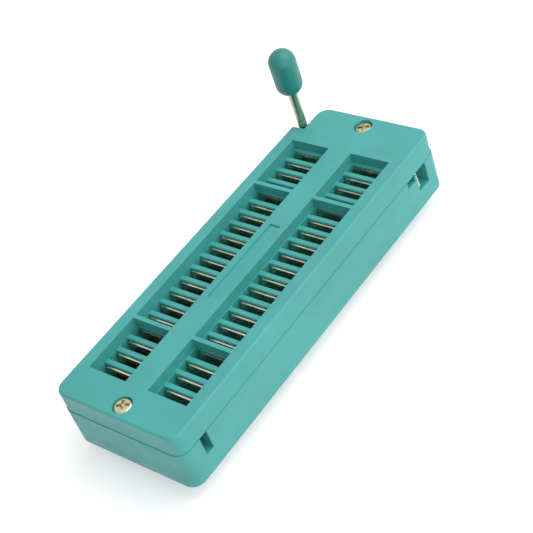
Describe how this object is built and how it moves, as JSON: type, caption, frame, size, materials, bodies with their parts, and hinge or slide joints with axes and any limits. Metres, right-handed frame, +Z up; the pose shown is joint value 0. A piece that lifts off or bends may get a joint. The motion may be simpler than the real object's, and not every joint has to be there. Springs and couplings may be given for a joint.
{
  "type": "zif socket",
  "caption": "Zero-insertion-force chip socket: slotted slider under a windowed cover, sheet-metal contacts with solder tails, and a side lever that clamps the chip.",
  "frame": {"origin": "centre of the body on the seating plane, which is the underside of the base", "axes": "+Z up from the board, +Y along the body to the lever end, +X across the body away from the lever"},
  "size_m": [0.0239, 0.0658, 0.0278],
  "materials": {
    "base_plastic": "moulded, fine satin",
    "cover_plastic": "moulded, fine satin",
    "slider_plastic": "moulded, fine satin",
    "knob_plastic": "moulded, semi-gloss",
    "lever_steel": "drawn wire",
    "spring_steel": "rolled strip",
    "screw_steel": "nickel plated",
    "contact_metal": "tin plated bronze"
  },
  "bodies": {
    "socket": {"base": "base_plastic", "cover": "cover_plastic", "spring_left": "spring_steel", "spring_right": "spring_steel", "screw_near": "screw_steel", "screw_far": "screw_steel", "contact_01": "contact_metal", "contact_02": "contact_metal", "contact_03": "contact_metal", "contact_04": "contact_metal", "contact_05": "contact_metal", "contact_06": "contact_metal", "contact_07": "contact_metal", "contact_08": "contact_metal", "contact_09": "contact_metal", "contact_10": "contact_metal", "contact_11": "contact_metal", "contact_12": "contact_metal", "contact_13": "contact_metal", "contact_14": "contact_metal", "contact_15": "contact_metal", "contact_16": "contact_metal", "contact_17": "contact_metal", "contact_18": "contact_metal", "contact_19": "contact_metal", "contact_20": "contact_metal", "contact_21": "contact_metal", "contact_22": "contact_metal", "contact_23": "contact_metal", "contact_24": "contact_metal", "contact_25": "contact_metal", "contact_26": "contact_metal", "contact_27": "contact_metal", "contact_28": "contact_metal", "contact_29": "contact_metal", "contact_30": "contact_metal", "contact_31": "contact_metal", "contact_32": "contact_metal", "contact_33": "contact_metal", "contact_34": "contact_metal", "contact_35": "contact_metal", "contact_36": "contact_metal", "contact_37": "contact_metal", "contact_38": "contact_metal", "contact_39": "contact_metal", "contact_40": "contact_metal"},
    "lever_arm": {"lever": "lever_steel", "knob": "knob_plastic"},
    "comb": {"slider": "slider_plastic"}
  },
  "joints": [
    {"name": "lever_turn", "type": "hinge", "parent": "socket", "child": "lever_arm", "pos_m": [0, 0.0282, 0.00385], "axis": [-1, 0, 0], "range_deg": [0, 90]},
    {"name": "slider_slide", "type": "slide", "parent": "socket", "child": "comb", "axis": [0, 1, 0], "range_m": [0, 0.00106]}
  ],
  "couplings": [
    {"joint": "lever_turn", "follows": "slider_slide", "rad_per_m": 1481}
  ]
}
